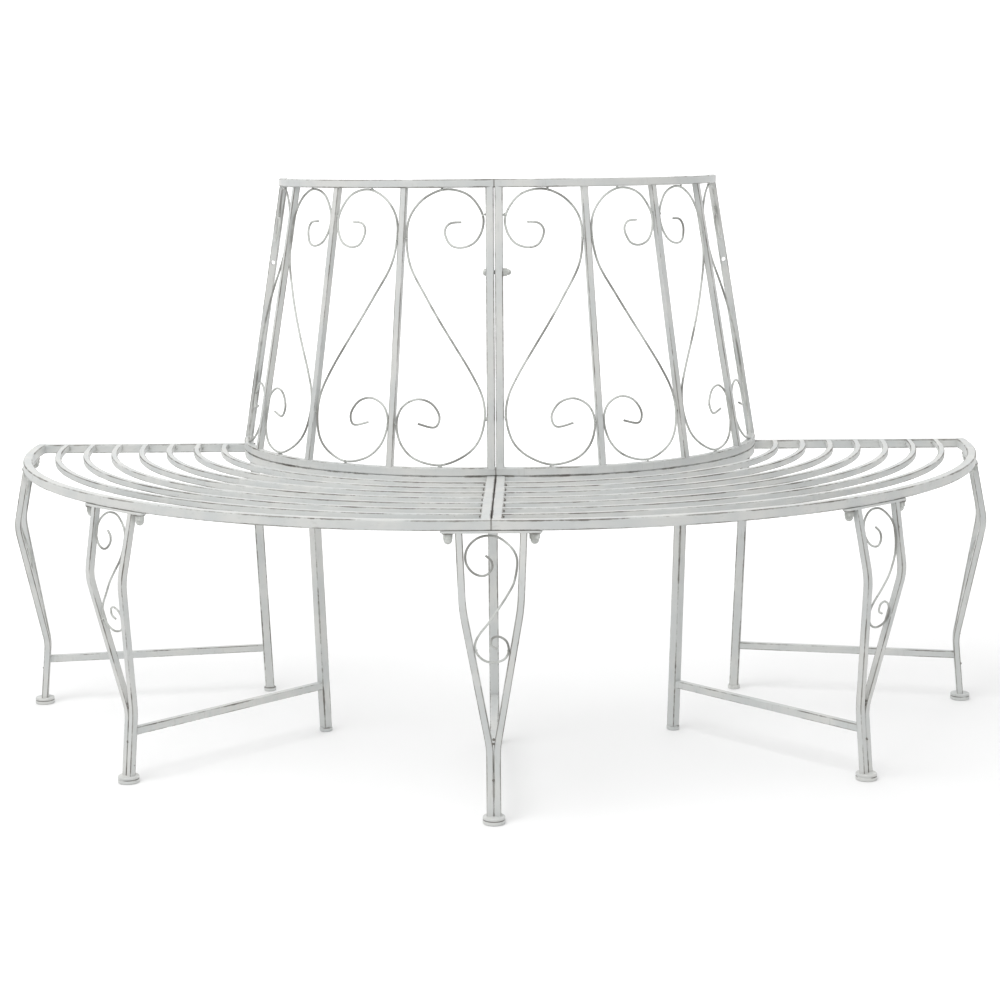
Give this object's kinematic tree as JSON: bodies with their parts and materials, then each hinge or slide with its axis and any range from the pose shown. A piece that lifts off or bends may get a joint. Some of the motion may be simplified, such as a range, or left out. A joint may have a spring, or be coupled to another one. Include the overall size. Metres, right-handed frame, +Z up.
{
  "type": "garden tree bench",
  "caption": "Half-round garden bench that goes round one side of a tree, with a curved slatted steel seat, a leaning scrollwork backrest and V-shaped front legs.",
  "frame": {"origin": "on the ground, under the middle of the bench's bounding box", "axes": "+X along the flat side, to the right of someone looking at the bench; +Y towards the tree; +Z up"},
  "size_m": [1.6358, 0.7927, 0.885],
  "materials": {
    "frame_paint": "off-white paint, rubbed back along the edges",
    "wire_paint": "off-white paint, rubbed darker",
    "fastener": "grey-white painted zinc"
  },
  "bodies": {
    "root": {"seat_frame_left": "frame_paint", "seat_slat_left_1": "frame_paint", "seat_slat_left_2": "frame_paint", "seat_slat_left_3": "frame_paint", "seat_slat_left_4": "frame_paint", "seat_slat_left_5": "frame_paint", "seat_slat_left_6": "frame_paint", "seat_slat_left_7": "frame_paint", "seat_frame_right": "frame_paint", "seat_slat_right_1": "frame_paint", "seat_slat_right_2": "frame_paint", "seat_slat_right_3": "frame_paint", "seat_slat_right_4": "frame_paint", "seat_slat_right_5": "frame_paint", "seat_slat_right_6": "frame_paint", "seat_slat_right_7": "frame_paint", "backrest_frame_left": "frame_paint", "backrest_scroll_left_1": "wire_paint", "backrest_scroll_left_2": "wire_paint", "backrest_scroll_left_3": "wire_paint", "backrest_scroll_left_4": "wire_paint", "backrest_frame_right": "frame_paint", "backrest_scroll_right_1": "wire_paint", "backrest_scroll_right_2": "wire_paint", "backrest_scroll_right_3": "wire_paint", "backrest_scroll_right_4": "wire_paint", "seam_bolt": "fastener", "seam_nut": "fastener", "front_leg_far_left": "frame_paint", "back_post_far_left": "frame_paint", "stretcher_far_left": "frame_paint", "leg_scroll_far_left": "wire_paint", "cap_nut_far_left_a": "fastener", "cap_nut_far_left_b": "fastener", "front_leg_left": "frame_paint", "back_post_left": "frame_paint", "stretcher_left": "frame_paint", "leg_scroll_left": "wire_paint", "cap_nut_left_a": "fastener", "cap_nut_left_b": "fastener", "front_leg_centre": "frame_paint", "back_post_centre": "frame_paint", "stretcher_centre": "frame_paint", "leg_scroll_centre": "wire_paint", "cap_nut_centre_a": "fastener", "cap_nut_centre_b": "fastener", "front_leg_right": "frame_paint", "back_post_right": "frame_paint", "stretcher_right": "frame_paint", "leg_scroll_right": "wire_paint", "cap_nut_right_a": "fastener", "cap_nut_right_b": "fastener", "front_leg_far_right": "frame_paint", "back_post_far_right": "frame_paint", "stretcher_far_right": "frame_paint", "leg_scroll_far_right": "wire_paint", "cap_nut_far_right_a": "fastener", "cap_nut_far_right_b": "fastener"}
  },
  "joints": []
}
